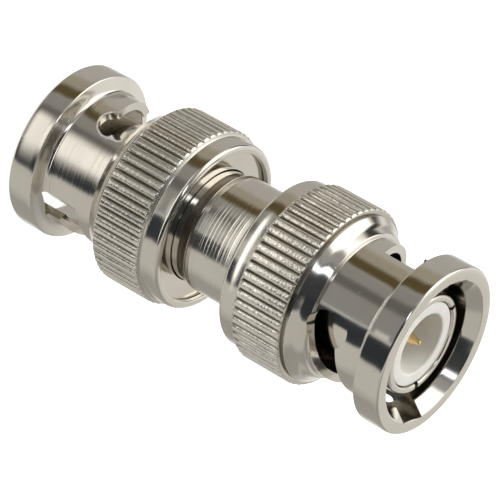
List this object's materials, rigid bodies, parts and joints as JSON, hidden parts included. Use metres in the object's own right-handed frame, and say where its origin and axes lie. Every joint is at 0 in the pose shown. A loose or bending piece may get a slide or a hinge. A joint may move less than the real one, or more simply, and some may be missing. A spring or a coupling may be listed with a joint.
{
  "type": "coaxial plug-to-plug adapter",
  "caption": "Coaxial adapter with a bayonet plug at each end: knurled sprung coupling nuts with helical slots, slit outer contacts, insulators and pointed centre pins.",
  "frame": {"origin": "centre of the lower mouth face, where the adapter stands", "axes": "+Z along the common axis toward the upper mouth, -Y toward the side that the picture shows"},
  "size_m": [0.0144, 0.0144, 0.0356],
  "materials": {
    "nickel": "nickel plated, bright",
    "nickel_knurled": "nickel plated, knurled and turned",
    "gold": "gold plated, satin",
    "dielectric": "smooth off-white",
    "gasket": "matt",
    "spring_steel": "rolled strip"
  },
  "bodies": {
    "core": {"centre_barrel": "nickel", "centre_insulator": "dielectric", "upper_outer_contact": "nickel", "upper_insulator": "dielectric", "upper_centre_pin": "gold", "upper_gasket": "gasket", "upper_wave_spring_rear": "spring_steel", "upper_wave_spring_front": "spring_steel", "lower_outer_contact": "nickel", "lower_insulator": "dielectric", "lower_centre_pin": "gold", "lower_gasket": "gasket", "lower_wave_spring_rear": "spring_steel", "lower_wave_spring_front": "spring_steel"},
    "upper_washers": {"upper_retaining_washer": "nickel", "upper_slip_washer": "nickel"},
    "upper_nut": {"upper_coupling_nut": "nickel_knurled"},
    "lower_washers": {"lower_retaining_washer": "nickel", "lower_slip_washer": "nickel"},
    "lower_nut": {"lower_coupling_nut": "nickel_knurled"}
  },
  "joints": [
    {"name": "upper_nut_slide", "type": "slide", "parent": "core", "child": "upper_washers", "axis": [0, 0, 1], "range_m": [0, 0.0007], "stiffness_N_per_m": 2000, "springref_m": -0.0005, "deforming": ["upper_wave_spring_rear", "upper_wave_spring_front"]},
    {"name": "upper_nut_spin", "type": "hinge", "parent": "upper_washers", "child": "upper_nut", "pos_m": [0, 0, 0.0258], "axis": [0, 0, 1], "continuous": true},
    {"name": "lower_nut_slide", "type": "slide", "parent": "core", "child": "lower_washers", "axis": [0, 0, -1], "range_m": [0, 0.0007], "stiffness_N_per_m": 2000, "springref_m": -0.0005, "deforming": ["lower_wave_spring_rear", "lower_wave_spring_front"]},
    {"name": "lower_nut_spin", "type": "hinge", "parent": "lower_washers", "child": "lower_nut", "pos_m": [0, 0, 0.0098], "axis": [0, 0, -1], "continuous": true}
  ]
}
